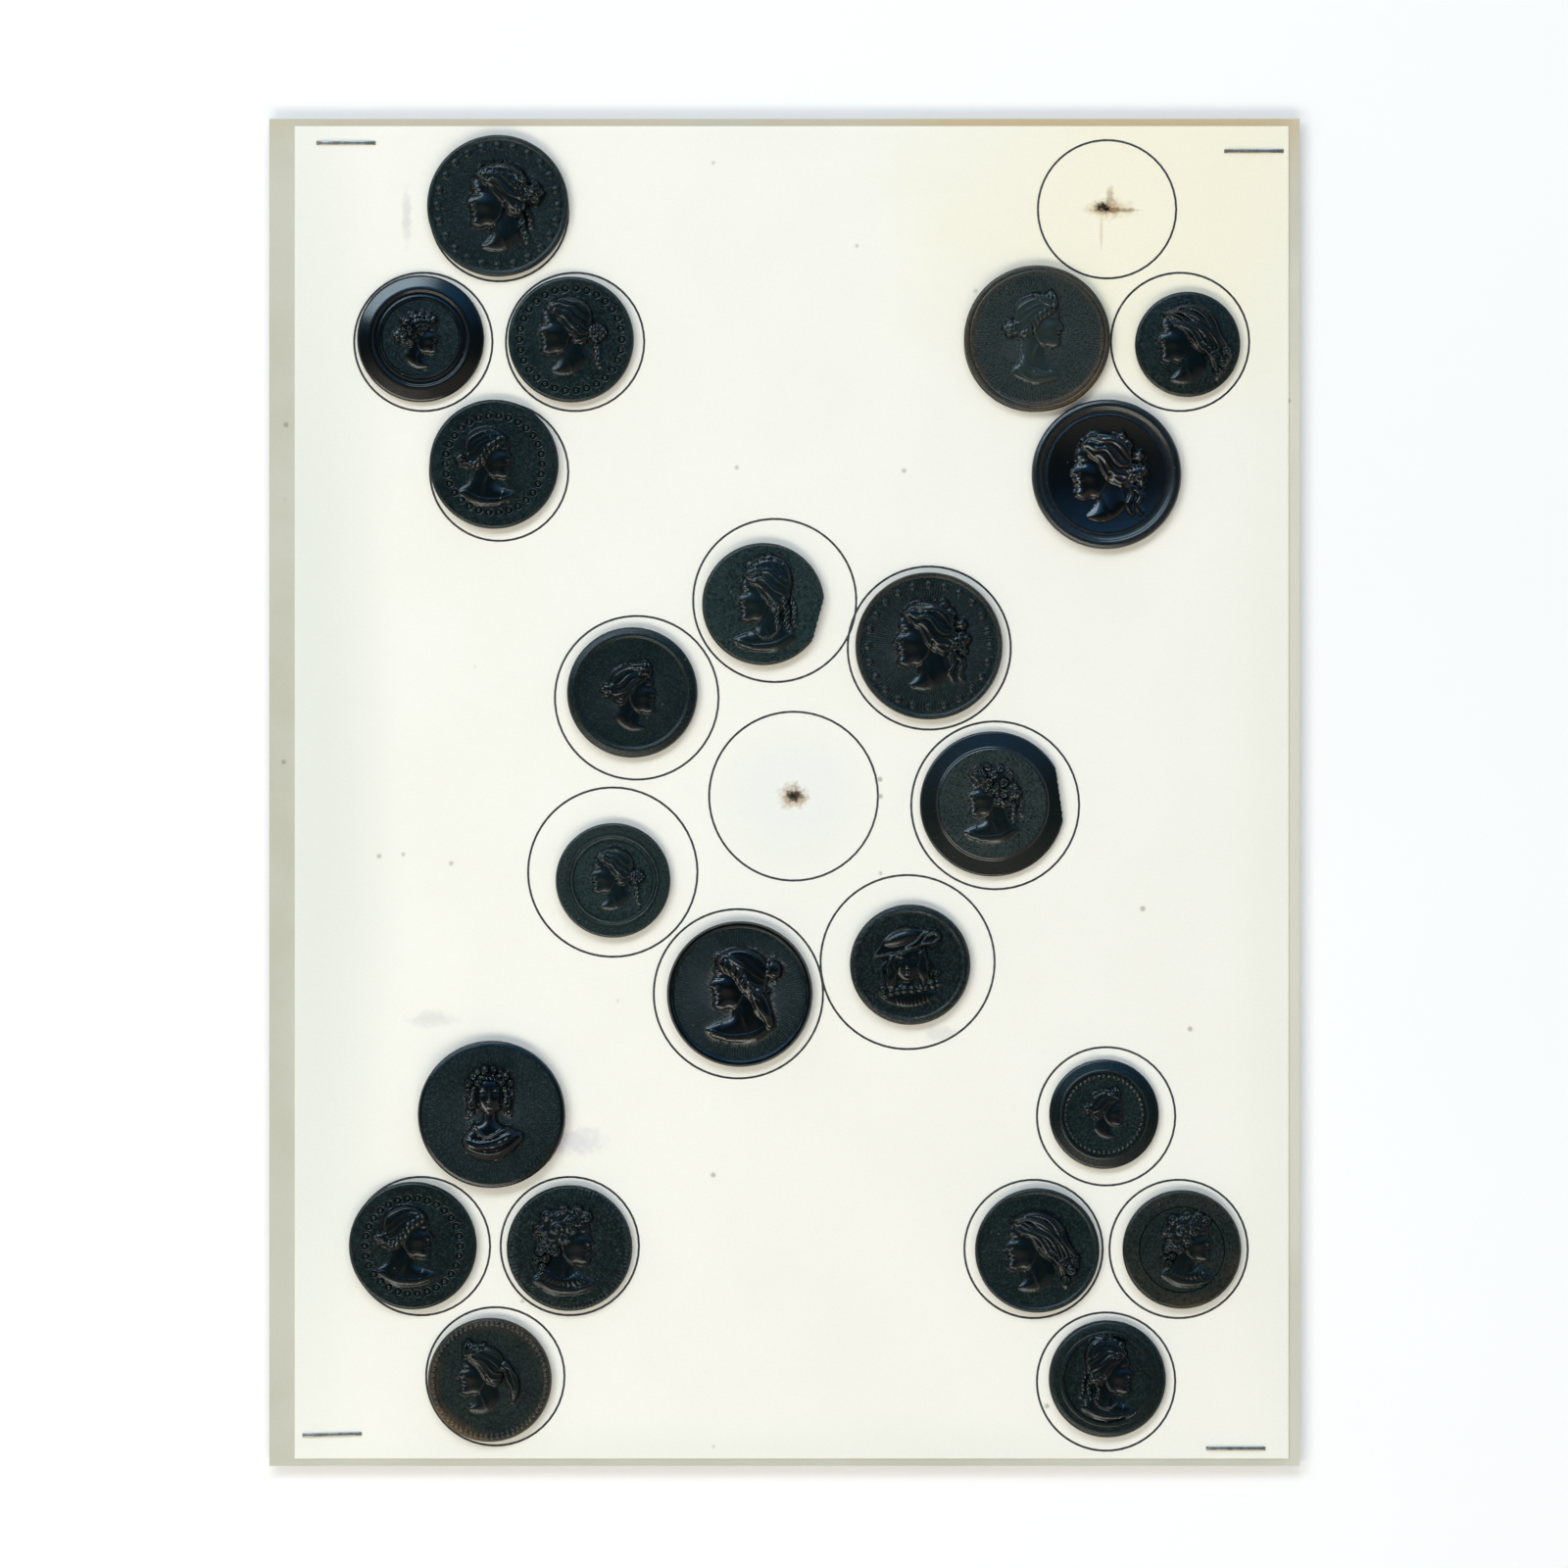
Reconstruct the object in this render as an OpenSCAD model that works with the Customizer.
// A collector's card of black relief buttons: a board, a printed sheet stapled to it,
// and buttons whose wire shanks pass through the card and are held behind it by short wires.
// Front up, lying flat: the wire loops touch the table at z = 0.

/* [Card] */
// Width of the backing board
board_w = 216; // [214:1:260]
// Length of the backing board
board_l = 282.4; // [281:0.1:330]
// Thickness of the backing board
board_t = 1.5; // [1:0.1:3]
// Width of the printed sheet
sheet_w = 208.3; // [206:0.1:211]
// Length of the printed sheet
sheet_l = 279.3; // [278:0.1:281]
// Thickness of the printed sheet
sheet_t = 0.3; // [0.2:0.05:0.6]
// Distance that the sheet lies right of the board's middle
sheet_shift = 1.5; // [0:0.1:2]

/* [Printed places] */
// Diameter of the circles printed in the four corner groups
corner_ring_d = 29; // [27:0.1:30]
// Width of a printed line
line_w = 0.45; // [0.3:0.05:0.8]
// Depth that the ink fills in the sheet
ink_t = 0.05; // [0.03:0.01:0.1]
// Diameter of the holes pierced for the shanks
hole_d = 3.6; // [3.5:0.1:6]

/* [Staples] */
// Length of a staple's crown
staple_w = 12.4; // [10:0.1:14]
// Width of the staple wire, across the crown
staple_wire_w = 0.7; // [0.5:0.05:0.9]
// Thickness of the staple wire
staple_wire_t = 0.5; // [0.4:0.05:0.7]
// Length of each leg folded flat behind the board
staple_clinch = 4; // [2:0.1:5]
// Room round a staple's leg in its slit
staple_fit = 0.05; // [0.02:0.01:0.15]

/* [Shanks and keepers] */
// Diameter of the shank's wire
shank_wire_d = 0.9; // [0.7:0.05:1]
// Outer width of the shank's loop
shank_loop_w = 3.2; // [3.1:0.1:3.4]
// Diameter of the plate that carries the loop
shank_plate_d = 8; // [6:0.1:10]
// Thickness of the plate
shank_plate_t = 0.6; // [0.4:0.05:0.9]
// Room round the plate in the button's back
plate_fit = 0.05; // [0.02:0.01:0.2]
// Diameter of the keeper wire
keeper_d = 1; // [0.8:0.05:1.1]
// Length of a keeper wire
keeper_l = 16; // [10:1:22]
// Room above and below the keeper wire in its loop
keeper_play = 0.1; // [0.05:0.05:0.3]

/* [Buttons] */
// Height of the fillet round a button's back edge
back_round = 0.5; // [0.2:0.1:0.8]
// Height that border beads and rings stand above the face
border_h = 0.22; // [0.1:0.02:0.5]
// Wall of the small border rings
border_wall = 0.4; // [0.25:0.05:0.6]
// Depth that applied relief is rooted in the face, so that it is one piece with it
root_h = 0.2; // [0.1:0.05:0.4]

/* [Hidden] */
$fn = 40;
over = 1;

// Heights of the card's layers, from the table up.
keeper_z = shank_wire_d + keeper_play + keeper_d / 2;
board_z = shank_wire_d + keeper_d + 2 * keeper_play;
sheet_z = board_z + board_t;
face_z = sheet_z + sheet_t;

// Radii of the loop's wire: the middle of its bend, and the wire itself.
shank_wire_r = shank_wire_d / 2;
bend_r = shank_loop_w / 2 - shank_wire_r;
bend_z = shank_loop_w / 2;

// The four corner groups: middle, and half the distances between places across and along.
groups = [
    ["upper_left", [-59.8, 94.4], [15.9, 27.2]],
    ["upper_right", [67.6, 94.4], [15.3, 27.8]],
    ["lower_left", [-60.6, -95.1], [15.6, 27.3]],
    ["lower_right", [67.4, -95.7], [15.2, 27.8]],
];
sides = [["top", [0, 1]], ["left", [-1, 0]], ["right", [1, 0]], ["bottom", [0, -1]]];

// The middle group: distance and direction from the middle place, and the diameter of each circle.
middle = [1.9, -0.8];
middle_ring_d = 35.4;
circle_of_seven = [
    ["centre_top", 41.2, 95.5, 34.2],
    ["centre_upper_right", 42.1, 47.5, 34.2],
    ["centre_right", 42.3, -2.6, 35.2],
    ["centre_lower_right", 42.2, -55.5, 36.5],
    ["centre_bottom", 43, -105.6, 35.5],
    ["centre_lower_left", 41.1, -157.2, 35.5],
    ["centre_upper_left", 38.8, 147.9, 34.3],
];

function scaled(a, b) = [a[0] * b[0], a[1] * b[1]];

// Every printed place: name, middle, diameter of its circle.
places = concat(
    [for (g = groups, s = sides) [str(g[0], "_", s[0]), g[1] + scaled(g[2], s[1]), corner_ring_d]],
    [["centre_middle", middle, middle_ring_d]],
    [for (c = circle_of_seven) [c[0], middle + c[1] * [cos(c[2]), sin(c[2])], c[3]]]);

function place_of(name) = [for (p = places) if (p[0] == name) p[1]][0];

// Front profiles: [distance in from the edge, height above the back], from the edge inwards.
// The last height is the field that the head stands on.
thin_lip = [[0, 2.3], [0.4, 2.7], [0.8, 2.7], [1.1, 2.4]];
flat_face = [[0, 2.2], [0.5, 2.7]];
ridged_bevel = [[0, 1.6], [0.3, 1.9], [2.6, 2.9], [3.1, 3], [3.6, 2.6], [4.2, 2.6], [4.5, 2.85], [5, 2.85],
    [5.3, 2.4]];
double_line = [[0, 2.2], [0.4, 2.6], [0.9, 2.6], [1.1, 2.4], [1.3, 2.6], [1.7, 2.6], [2, 2.45]];
low_dome = [[0, 1.9], [0.5, 2.3], [3, 2.55], [6, 2.7]];
round_rim = [[0, 2.2], [0.3, 2.7], [0.9, 3], [1.5, 2.9], [2.05, 2.4], [2.8, 2.2], [3.4, 2.35]];
double_lip = [[0, 2.3], [0.25, 2.6], [0.5, 2.6], [0.65, 2.45], [0.8, 2.6], [1.1, 2.35]];
stepped_rim = [[0, 1.9], [0.4, 2.4], [1.4, 2.8], [1.8, 2.8], [2.2, 2.4]];
plateau = [[0, 1.5], [0.3, 1.8], [3.3, 2.5], [3.65, 2.9], [4, 3]];
double_ring = [[0, 2.1], [0.4, 2.5], [2.3, 2.5], [2.5, 2.8], [2.8, 2.8], [3, 2.6], [3.2, 2.8], [3.5, 2.8],
    [3.7, 2.4]];
narrow_rim = [[0, 2.2], [0.4, 2.8], [1, 2.8], [1.4, 2.4]];
soft_rim = [[0, 2], [0.5, 2.6], [1.2, 2.8], [1.6, 2.5]];
thick_disc = [[0, 2.8], [0.3, 3.2], [0.8, 3.4]];
beaded_slope = [[0, 1.6], [0.4, 1.9], [2.2, 2.5], [2.4, 2.75], [2.7, 2.75], [2.9, 2.4]];
cut_circle = [[0, 2], [0.5, 2.5], [3.3, 2.6], [3.5, 2.35], [3.7, 2.6]];
ringed_step = [[0, 1.8], [0.5, 2.3], [1.2, 2.5], [1.5, 2.35], [2.3, 2.4], [2.6, 2.8], [3, 2.8],
    [3.3, 2.3]];

// Borders: kind, count, distance in from the edge, diameter of one ornament.
plain = ["none", 0, 0, 0];
edge_beads = ["bead", 24, 2.2, 1.6];
inner_beads = ["bead", 24, 2.6, 1.5];
dense_beads = ["bead", 72, 0.95, 0.8];
fine_beads = ["bead", 48, 3.4, 0.7];
outer_rings = ["ring", 30, 2.4, 1.7];
inner_rings = ["ring", 30, 3.35, 1.7];

// Every button: place, how far it sits off its circle, diameter, front profile, border, chip at the
// edge as [direction, depth], head style, 1 if it looks right, head height, head's place on the face.
buttons = [
    ["upper_left_top", [-0.2, 1.2], 29.6, thin_lip, edge_beads, [], "laurel", 0, 19.1, [1.5, -0.2]],
    ["upper_left_left", [-0.5, 0.6], 26.6, ridged_bevel, plain, [], "wreath", 1, 12.5, [-0.9, -0.1]],
    ["upper_left_right", [-0.8, 0.4], 26.3, flat_face, outer_rings, [], "netted", 0, 16.6, [0.3, 0.7]],
    ["upper_left_bottom", [-1, 1.5], 27, flat_face, inner_rings, [], "rolled", 1, 16, [-1.2, -0.4]],
    ["upper_right_left", [0.6, 0.6], 30.6, double_line, plain, [], "tiara_bust", 1, 19.3, [-0.7, 0.4]],
    ["upper_right_right", [1.5, -0.6], 22, low_dome, plain, [], "flowing", 0, 16.8, [1, 0]],
    ["upper_right_bottom", [-0.2, 0], 31.3, round_rim, plain, [], "flowered", 0, 19.1, [0.8, -0.5]],
    ["centre_top", [-2.4, -0.8], 25.6, flat_face, plain, [-15, 0.8], "piled", 0, 19.9, [0.1, 0.3]],
    ["centre_upper_right", [-0.1, 0.4], 30.8, double_lip, inner_beads, [], "flowered", 0, 19.1, [0.8, 0.2]],
    ["centre_right", [-0.6, 0.3], 30.4, plateau, plain, [8, 1], "tressed", 0, 15.6, [0, 0]],
    ["centre_lower_right", [0.5, -0.5], 25.2, soft_rim, plain, [], "hatted", 0, 16.8, [0.8, -0.4]],
    ["centre_bottom", [0.3, 0], 30.5, narrow_rim, plain, [], "capped", 0, 19.7, [0.3, 0]],
    ["centre_lower_left", [0.1, -1.7], 24, double_ring, plain, [], "netted", 0, 13.1, [0.9, 0.3]],
    ["centre_upper_left", [-0.9, 1.1], 27.3, stepped_rim, plain, [], "tiara", 1, 15, [-0.5, -0.6]],
    ["lower_left_top", [-0.7, 0.4], 30.8, thick_disc, plain, [], "ringlets", 0, 19.3, [-0.4, 0.3]],
    ["lower_left_left", [-1.6, 0.2], 26.7, flat_face, inner_rings, [], "rolled", 1, 16.6, [-1.1, 0.2]],
    ["lower_left_right", [0, -0.3], 26.3, flat_face, plain, [], "curly", 1, 18.3, [-0.7, -0.3]],
    ["lower_left_bottom", [-1.1, -0.6], 25.9, flat_face, dense_beads, [], "tailed", 0, 15.4, [-0.4, 0.8]],
    ["lower_right_top", [-0.5, 0.5], 22.9, beaded_slope, fine_beads, [], "tiara", 1, 10.9, [0, 0.4]],
    ["lower_right_left", [0.7, -0.2], 26, thin_lip, plain, [], "flowing", 0, 17, [0.7, -0.2]],
    ["lower_right_right", [0.6, 0], 24.8, cut_circle, plain, [], "curly", 1, 15.4, [1.4, 0.2]],
    ["lower_right_bottom", [0.2, 0.7], 24.5, ringed_step, plain, [], "piled", 1, 17.5, [0.4, 0.4]],
];

function seat_of(b) = place_of(b[0]) + b[1];
function field_of(b) = b[3][len(b[3]) - 1][1];

// Every hole in the card: one under each button, and the two empty places.
empty_places = ["upper_right_top", "centre_middle"];
holes = concat([for (b = buttons) seat_of(b)], [for (e = empty_places) place_of(e)]);

// Staples: middle of the crown and its slant.
staple_places = [
    [[-91.9, 136.1], 0],
    [[98.4, 134.4], 0],
    [[-94.8, -134.6], 1.5],
    [[94.6, -137.5], 0],
];

button_nodes = [for (b = buttons) str("button_", b[0])];
shank_nodes = [for (b = buttons) str("shank_", b[0])];
card_nodes = ["backing_board", "layout_sheet", "printed_rings", "staples", "keepers"];

// Card

module at_holes() {
    for (h = holes) translate([h[0], h[1], 0]) children();
}

module at_staples() {
    for (s = staple_places) translate([s[0][0], s[0][1], 0]) rotate(s[1]) children();
}

module at_staple_legs() {
    at_staples() for (side = [-1, 1]) translate([side * (staple_w - staple_wire_t) / 2, 0, 0]) children();
}

// Slits for the staples' legs and holes for the shanks, through everything between two heights.
module piercings(z, t) {
    at_holes() translate([0, 0, z - over]) cylinder(d = hole_d, h = t + 2 * over);
    slit = [staple_wire_t + 2 * staple_fit, staple_wire_w + 2 * staple_fit, t + 2 * over];
    at_staple_legs() translate([-slit[0] / 2, -slit[1] / 2, z - over]) cube(slit);
}

module backing_board() color("#b9ae8d") difference() {
    translate([-board_w / 2, -board_l / 2, board_z]) cube([board_w, board_l, board_t]);
    piercings(board_z, board_t);
}

module ring_line(d, h) {
    difference() {
        cylinder(d = d + line_w, h = h, $fn = 120);
        translate([0, 0, -over]) cylinder(d = d - line_w, h = h + 2 * over, $fn = 120);
    }
}

module layout_sheet() color("#f2f1e6") difference() {
    translate([sheet_shift - sheet_w / 2, -sheet_l / 2, sheet_z]) cube([sheet_w, sheet_l, sheet_t]);
    piercings(sheet_z, sheet_t);
    for (p = places) translate([p[1][0], p[1][1], face_z - ink_t]) ring_line(p[2], over);
}

module printed_rings() color("#2b2c30")
    for (p = places) translate([p[1][0], p[1][1], face_z - ink_t]) ring_line(p[2], ink_t);

// Crown on the sheet, two legs through the card, and their ends folded inwards behind the board.
module staples() color("#9a9a98") {
    at_staples() translate([-staple_w / 2, -staple_wire_w / 2, face_z])
        cube([staple_w, staple_wire_w, staple_wire_t]);
    at_staple_legs() translate([-staple_wire_t / 2, -staple_wire_w / 2, board_z - staple_wire_t])
        cube([staple_wire_t, staple_wire_w, board_t + sheet_t + 2 * staple_wire_t]);
    at_staples() for (side = [0, 1]) mirror([side, 0, 0])
        translate([staple_w / 2 - staple_clinch, -staple_wire_w / 2, board_z - staple_wire_t])
            cube([staple_clinch, staple_wire_w, staple_wire_t]);
}

// Shanks and keepers

// The loop stands across the card, so that its keeper runs from side to side.
module shank(b) color("#a8894a") translate([seat_of(b)[0], seat_of(b)[1], 0]) {
    translate([0, 0, face_z]) cylinder(d = shank_plate_d, h = shank_plate_t);
    for (side = [-1, 1]) translate([0, side * bend_r, bend_z])
        cylinder(r = shank_wire_r, h = face_z + shank_plate_t / 2 - bend_z);
    translate([0, 0, bend_z]) rotate([-90, 0, 90]) rotate_extrude(angle = 180)
        translate([bend_r, 0]) circle(r = shank_wire_r);
}

module keepers() color("#77787a")
    for (b = buttons) translate([seat_of(b)[0] - keeper_l / 2, seat_of(b)[1], keeper_z])
        rotate([0, 90, 0]) cylinder(d = keeper_d, h = keeper_l);

// Relief heads, drawn one head high from chin to crown, looking left, standing on z = 0

// Depth that a head's forms are rooted in the face, and the heights of hair, of locks
// and of what lies on them.
head_root = 0.02;
hair_h = 0.14;
lock_h = 0.17;
curl_h = 0.18;
leaf_h = 0.19;

function spline(a, b, c, d, t) =
    (2 * b + (c - a) * t + (2 * a - 5 * b + 4 * c - d) * t * t + (3 * b - a - 3 * c + d) * t * t * t) / 2;

function closed_curve(p, n = 3) = let (m = len(p)) [for (i = [0 : m - 1], k = [0 : n - 1])
    spline(p[(i + m - 1) % m], p[i], p[(i + 1) % m], p[(i + 2) % m], k / n)];

function open_curve(p, n = 3) = let (m = len(p)) concat([for (i = [0 : m - 2], k = [0 : n - 1])
    spline(p[max(i - 1, 0)], p[i], p[i + 1], p[min(i + 2, m - 1)], k / n)], [p[m - 1]]);

// An outline whose top is crowned: crown high at its middle, edge high at the given reach from it.
module crowned(outline, crown, edge, at, reach) {
    radius = (reach * reach + pow(crown - edge, 2)) / (2 * (crown - edge));
    intersection() {
        translate([0, 0, -head_root]) linear_extrude(crown + 2 * head_root) polygon(outline);
        translate([at[0], at[1], crown - radius]) sphere(radius, $fn = 96);
    }
}

module swell(points, crown, edge, at, reach) crowned(closed_curve(points), crown, edge, at, reach);

// One side of a lock: its half width follows a sine along the line, so that both ends are points.
function lock_side(line, half) = let (last = len(line) - 1) [for (i = [1 : last - 1])
    let (way = line[i + 1] - line[i - 1])
    line[i] + half * sin(180 * i / last) / norm(way) * [-way[1], way[0]]];

// A lock of hair along a curve.
module lock(points, half, h) {
    line = open_curve(points);
    last = len(line) - 1;
    right = lock_side(line, -half);
    back = [for (i = [len(right) - 1 : -1 : 0]) right[i]];
    outline = concat([line[0]], lock_side(line, half), [line[last]], back);
    crowned(outline, h, h - 0.05, line[floor(last / 2)], 0.5);
}

// Locks side by side between two curves with as many points.
module locks(upper, lower, count, half) {
    for (k = [0 : count - 1]) {
        t = (k + 0.5) / count;
        between = [for (i = [0 : len(upper) - 1]) upper[i] + t * (lower[i] - upper[i])];
        lock(between, half, lock_h + 0.004 * k);
    }
}

// A rounded knob of hair, a bead or a petal: radius at the ground, height.
module knob(at, r, h) {
    radius = (r * r + h * h) / (2 * h);
    half = 2 * radius;
    intersection() {
        translate([at[0], at[1], h - radius]) sphere(radius, $fn = 32);
        translate([at[0] - half, at[1] - half, -head_root]) cube([2 * half, 2 * half, h + 2 * head_root]);
    }
}

// Knobs in a row from one point to another, bowed sideways, shrinking by the given share.
module knobs(from, to, bow, count, r, h, shrink = 0) {
    across = [from[1] - to[1], to[0] - from[0]];
    for (k = [0 : count - 1]) let (t = count > 1 ? k / (count - 1) : 0, s = 1 - shrink * t)
        knob(from + t * (to - from) + 4 * t * (1 - t) * bow * across, r * s, h * s + 0.003 * (k % 2));
}

// A pointed leaf from its stem in the given direction.
module leaf(at, turn, length, h) {
    radius = 0.75 * length;
    reach = sqrt(radius * radius - length * length / 4);
    translate([at[0], at[1], -head_root]) rotate(turn) linear_extrude(h + head_root) intersection() {
        translate([length / 2, -reach]) circle(radius, $fn = 48);
        translate([length / 2, reach]) circle(radius, $fn = 48);
    }
}

// A flower of five petals round a middle.
module flower(at, r, h) {
    for (k = [0 : 4]) knob(at + r * [cos(72 * k), sin(72 * k)], 0.75 * r, h);
    knob(at, 0.6 * r, h + 0.02);
}

profile = [[0.1, 0.86], [0.035, 0.74], [0.03, 0.62], [0.045, 0.575], [-0.06, 0.4], [0.015, 0.355],
    [-0.005, 0.3], [0.02, 0.265], [0, 0.235], [0.03, 0.185], [0.01, 0.1], [0.06, 0.02], [0.17, 0],
    [0.29, 0.03]];
neck = [[0.34, -0.03], [0.31, -0.15], [0.2, -0.28], [0.34, -0.35], [0.54, -0.34], [0.72, -0.24],
    [0.84, -0.06], [0.8, 0.14]];
shoulders = [[0.34, -0.03], [0.29, -0.13], [0.06, -0.21], [-0.1, -0.3], [-0.02, -0.42], [0.22, -0.5],
    [0.5, -0.52], [0.8, -0.46], [1.04, -0.32], [1.04, -0.2], [0.88, -0.08], [0.8, 0.12]];
long_bust = [[0.34, -0.03], [0.32, -0.2], [0.2, -0.36], [0.02, -0.5], [0.04, -0.6], [0.32, -0.68],
    [0.62, -0.67], [0.9, -0.56], [0.96, -0.44], [0.82, -0.28], [0.76, 0.06]];
skull = [[0.76, 0.42], [0.88, 0.6], [0.84, 0.84], [0.62, 0.98], [0.38, 1], [0.2, 0.95]];

module face_and(base) swell(concat(profile, base, skull), 0.1, 0.045, [0.42, 0.45], 0.8);

hairline = [[0.53, 0.44], [0.43, 0.59], [0.31, 0.67], [0.2, 0.76]];
nape = [[0.92, 0.42], [0.86, 0.24], [0.72, 0.17], [0.6, 0.3]];

// Curves that locks are combed along, from the brow backwards: over the crown, over the ear,
// over piled hair, and the outer and inner side of hair that falls behind the neck.
over_crown = [[0.09, 0.87], [0.24, 0.99], [0.52, 1.03], [0.82, 0.9], [0.95, 0.64]];
over_ear = [[0.2, 0.77], [0.33, 0.67], [0.48, 0.52], [0.66, 0.28], [0.88, 0.34]];
over_pile = [[0.09, 0.86], [0.2, 1.06], [0.52, 1.22], [0.86, 1.08], [0.96, 0.7]];
back_outer = [[0.09, 0.87], [0.4, 1.02], [0.86, 0.9], [1.1, 0.5], [1.24, 0.16], [1.18, -0.1]];
back_inner = [[0.2, 0.75], [0.36, 0.64], [0.56, 0.46], [0.78, 0.24], [0.94, -0.02], [1.06, -0.26]];

combed_back = [[0.08, 0.84], [0.2, 0.97], [0.42, 1.05], [0.66, 1.02], [0.88, 0.88], [0.95, 0.66]];
piled_up = [[0.08, 0.82], [0.13, 1], [0.34, 1.2], [0.62, 1.26], [0.86, 1.14], [0.98, 0.88], [0.97, 0.62]];
let_loose = [[0.08, 0.84], [0.2, 0.98], [0.45, 1.06], [0.74, 1.01], [0.98, 0.82], [1.12, 0.52],
    [1.26, 0.22], [1.24, -0.08], [1.06, -0.3], [0.94, -0.06], [0.82, 0.18], [0.66, 0.3]];

module hair() swell(concat(combed_back, nape, hairline), hair_h, 0.06, [0.55, 0.7], 0.55);

module waved_hair() {
    hair();
    locks(over_crown, over_ear, 4, 0.05);
}

module piled_hair() {
    swell(concat(piled_up, nape, hairline), hair_h, 0.06, [0.55, 0.8], 0.6);
    locks(over_pile, over_ear, 4, 0.06);
}

module loose_hair() {
    swell(concat(let_loose, hairline), hair_h, 0.05, [0.62, 0.66], 0.8);
    locks(back_outer, back_inner, 4, 0.05);
}

module tresses() swell([[0.62, 0.34], [0.8, 0.36], [0.92, 0.2], [1, -0.02], [1.04, -0.24], [0.94, -0.3],
    [0.84, -0.12], [0.7, 0.08]], 0.13, 0.06, [0.8, 0.1], 0.6);

module tail() swell([[0.86, 0.74], [1.06, 0.64], [1.22, 0.36], [1.24, 0.06], [1.1, -0.16], [1.06, 0.1],
    [0.94, 0.36]], 0.13, 0.06, [1.02, 0.5], 0.6);

module bun(at, r) {
    knob(at, r, 0.16);
    for (k = [0 : 6]) let (a = 360 * k / 7 - 150) knob(at + 0.72 * r * [cos(a), sin(a)], 0.34 * r, 0.15);
}

module crest() translate([0, 0, -head_root]) linear_extrude(lock_h + head_root)
    polygon(closed_curve([[0.12, 0.8], [0.07, 0.98], [0.19, 1.16], [0.33, 1.08], [0.56, 1.1],
        [0.46, 0.94]], 2));

module roll() knobs([0.22, 0.76], [0.86, 0.3], 0.1, 9, 0.075, curl_h);

module ringlet(from, to) knobs(from, to, 0.1, 5, 0.075, 0.12, 0.35);

module drape(from, to, bow) knobs(from, to, bow, 8, 0.065, 0.13);

module curls() for (row = [0 : 2])
    knobs([0.16 + 0.1 * row, 0.86 - 0.12 * row], [0.86 - 0.04 * row, 0.52 - 0.12 * row], 0.3 - 0.11 * row,
        6 - row, 0.1, curl_h + 0.006 * row);

module leaves() for (k = [0 : 5])
    leaf([0.2 + 0.11 * k, 0.82 - 0.015 * k * k], 118 - 14 * k, 0.24, leaf_h + 0.004 * k);

// Front heads: the face looks out of the button

module front_face() swell([[0.5, 0], [0.62, 0.03], [0.76, 0.2], [0.82, 0.5], [0.76, 0.82], [0.5, 0.94],
    [0.24, 0.82], [0.18, 0.5], [0.24, 0.2], [0.38, 0.03]], 0.18, 0.1, [0.5, 0.5], 0.5);

// Shoulders that reach the given distance to each side.
module front_bust(w) swell([[0.37, 0.14], [0.34, -0.08], [0.5 - w, -0.2], [0.44 - w, -0.3],
    [0.5 - 0.66 * w, -0.48], [0.5, -0.56], [0.5 + 0.66 * w, -0.48], [0.56 + w, -0.3], [0.5 + w, -0.2],
    [0.66, -0.08], [0.63, 0.14]], 0.12, 0.05, [0.5, -0.15], 0.75);

// Hair that frames the face and falls on both sides by the given drop.
module front_hair(drop) swell([[0.5, 1.08], [0.22, 1.02], [0.06, 0.82], [0, 0.5], [-0.06, 0.12 - drop],
    [0.08, -0.04 - drop], [0.28, 0.1], [0.72, 0.1], [0.92, -0.04 - drop], [1.06, 0.12 - drop], [1, 0.5],
    [0.94, 0.82], [0.78, 1.02]], 0.13, 0.07, [0.5, 0.5], 0.8);

// A soft hat, its brim low on one side and turned up on the other.
module hat() swell([[-0.22, 0.64], [-0.28, 0.75], [-0.06, 0.9], [0.04, 1.1], [0.24, 1.25], [0.5, 1.3],
    [0.76, 1.26], [0.92, 1.14], [1.1, 1.2], [1.26, 1.12], [1.27, 0.98], [1.14, 0.88], [0.9, 0.8],
    [0.5, 0.72], [0.1, 0.64]], 0.22, 0.1, [0.5, 1], 0.8);

// How far each style reaches in head heights: left, right, bottom, top.
reach_of = [
    ["laurel", [-0.06, 1.2, -0.36, 1.08]],
    ["wreath", [-0.06, 1.16, -0.36, 1.16]],
    ["netted", [-0.06, 1.22, -0.36, 1.05]],
    ["rolled", [-0.2, 1.12, -0.5, 1.05]],
    ["tiara_bust", [-0.06, 1.14, -0.68, 1.16]],
    ["tiara", [-0.06, 1.14, -0.36, 1.16]],
    ["flowing", [-0.06, 1.26, -0.36, 1.06]],
    ["flowered", [-0.06, 1.22, -0.36, 1.08]],
    ["piled", [-0.2, 1.12, -0.5, 1.26]],
    ["tressed", [-0.2, 1.2, -0.5, 1.05]],
    ["capped", [-0.2, 1.18, -0.5, 1.06]],
    ["curly", [-0.2, 1.12, -0.5, 1.08]],
    ["tailed", [-0.06, 1.24, -0.36, 1.16]],
    ["hatted", [-0.28, 1.28, -0.56, 1.3]],
    ["ringlets", [-0.12, 1.12, -0.56, 1.1]],
];

function style_reach(style) = [for (r = reach_of) if (r[0] == style) r[1]][0];

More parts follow.
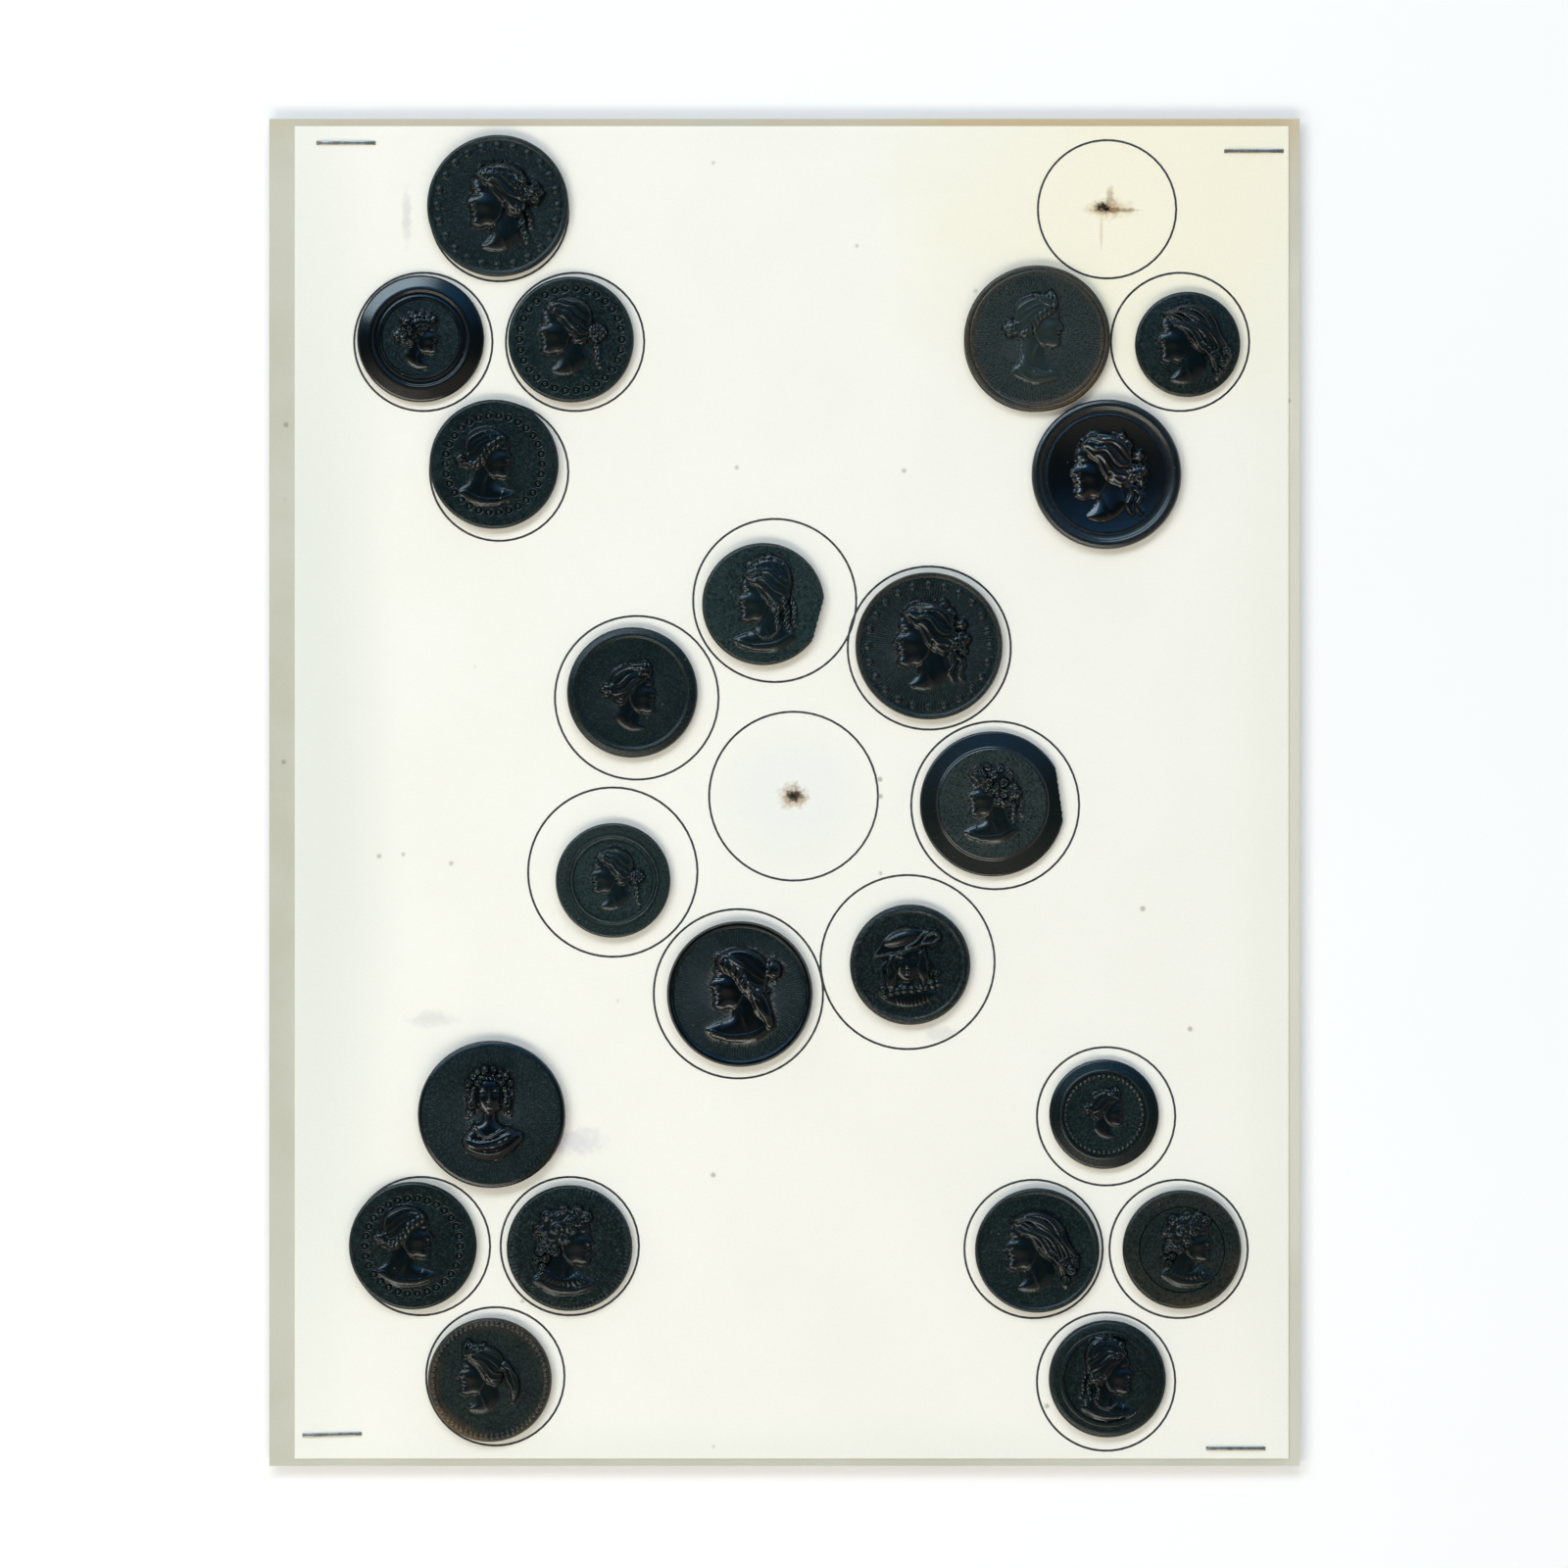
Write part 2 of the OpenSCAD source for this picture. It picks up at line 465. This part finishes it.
module head(style) {
    if (style == "laurel") {
        face_and(neck);
        waved_hair();
        leaves();
        bun([1, 0.56], 0.19);
        ringlet([0.78, 0.3], [0.9, -0.16]);
    }
    if (style == "wreath") {
        face_and(neck);
        hair();
        leaves();
        curls();
        bun([0.98, 0.5], 0.17);
    }
    if (style == "netted") {
        face_and(neck);
        waved_hair();
        bun([1.02, 0.4], 0.2);
        ringlet([0.98, 0.22], [1.04, -0.14]);
    }
    if (style == "rolled") {
        face_and(shoulders);
        hair();
        roll();
        knob([0.98, 0.42], 0.15, 0.15);
        drape([0, -0.32], [0.98, -0.24], -0.1);
    }
    if (style == "tiara_bust") {
        face_and(long_bust);
        waved_hair();
        crest();
        bun([0.98, 0.4], 0.18);
        drape([0.1, -0.48], [0.86, -0.46], -0.14);
    }
    if (style == "tiara") {
        face_and(neck);
        waved_hair();
        crest();
        bun([0.98, 0.52], 0.18);
    }
    if (style == "flowing") {
        face_and(neck);
        loose_hair();
        knobs([0.8, 0.26], [1.16, -0.04], 0.1, 4, 0.1, 0.16);
    }
    if (style == "flowered") {
        face_and(neck);
        waved_hair();
        flower([1.02, 0.62], 0.1, 0.16);
        flower([0.96, 0.36], 0.09, 0.15);
        ringlet([0.9, 0.22], [0.94, -0.2]);
    }
    if (style == "piled") {
        face_and(shoulders);
        piled_hair();
        knobs([0.14, 0.92], [0.84, 1.06], 0.2, 7, 0.1, leaf_h);
        ringlet([0.84, 0.36], [0.94, -0.1]);
        knobs([0.3, -0.14], [0.8, -0.1], -0.24, 9, 0.04, 0.14);
    }
    if (style == "tressed") {
        face_and(shoulders);
        hair();
        curls();
        knob([0.96, 0.5], 0.15, 0.15);
        ringlet([0.88, 0.36], [0.96, -0.1]);
        ringlet([1.04, 0.44], [1.12, 0.06]);
        drape([0, -0.32], [0.98, -0.24], -0.1);
    }
    if (style == "capped") {
        face_and(shoulders);
        tresses();
        hair();
        roll();
        bun([1, 0.68], 0.17);
        drape([0, -0.32], [0.98, -0.24], -0.1);
    }
    if (style == "curly") {
        face_and(shoulders);
        hair();
        curls();
        ringlet([0.86, 0.26], [0.88, -0.04]);
        drape([0.02, -0.28], [0.96, -0.2], -0.12);
    }
    if (style == "tailed") {
        face_and(neck);
        waved_hair();
        crest();
        tail();
        knob([0.92, 0.64], 0.13, 0.17);
    }
    if (style == "hatted") {
        front_bust(0.62);
        front_face();
        front_hair(0.2);
        hat();
        knobs([0.16, 0], [0.84, 0], -0.12, 8, 0.075, 0.19);
    }
    if (style == "ringlets") {
        front_bust(0.54);
        front_face();
        front_hair(0);
        knobs([0.08, 0.7], [0.92, 0.7], 0.42, 9, 0.09, 0.21);
        knobs([0, -0.3], [1, -0.3], -0.14, 7, 0.065, 0.13);
    }
}

// The head scaled to its height, with the middle of its reach at the given place on the face.
module placed_head(b) {
    r = style_reach(b[6]);
    size = b[8] / (r[3] - r[2]);
    translate([b[9][0], b[9][1], field_of(b)]) mirror([b[7], 0, 0]) scale(size)
        translate([-(r[0] + r[1]) / 2, -(r[2] + r[3]) / 2, 0]) head(b[6]);
}

// Buttons

module border(b) {
    kind = b[4][0];
    count = b[4][1];
    way = b[2] / 2 - b[4][2];
    r = b[4][3] / 2;
    for (k = [0 : count - 1]) rotate(360 * k / count) translate([way, 0, field_of(b) - root_h])
        difference() {
            cylinder(r = r, h = root_h + border_h);
            if (kind == "ring") translate([0, 0, root_h]) cylinder(r = r - border_wall, h = border_h + over);
        }
}

module disc(b) {
    r = b[2] / 2;
    back = [[0, 0], [r - back_round, 0], [r, back_round]];
    front = [for (p = b[3]) [r - p[0], p[1]]];
    rotate_extrude($fn = 120) polygon(concat(back, front, [[0, field_of(b)]]));
}

module button(b) color("#1d1e21") translate([seat_of(b)[0], seat_of(b)[1], face_z]) difference() {
    union() {
        disc(b);
        if (b[4][1] > 0) border(b);
        placed_head(b);
    }
    translate([0, 0, -over]) cylinder(d = shank_plate_d + 2 * plate_fit, h = shank_plate_t + over);
    if (len(b[5]) > 0) rotate(b[5][0]) translate([b[2] / 2 - b[5][1], -b[2] / 2, -over]) cube(b[2]);
}

backing_board();
layout_sheet();
printed_rings();
staples();
keepers();
for (b = buttons) {
    button(b);
    shank(b);
}
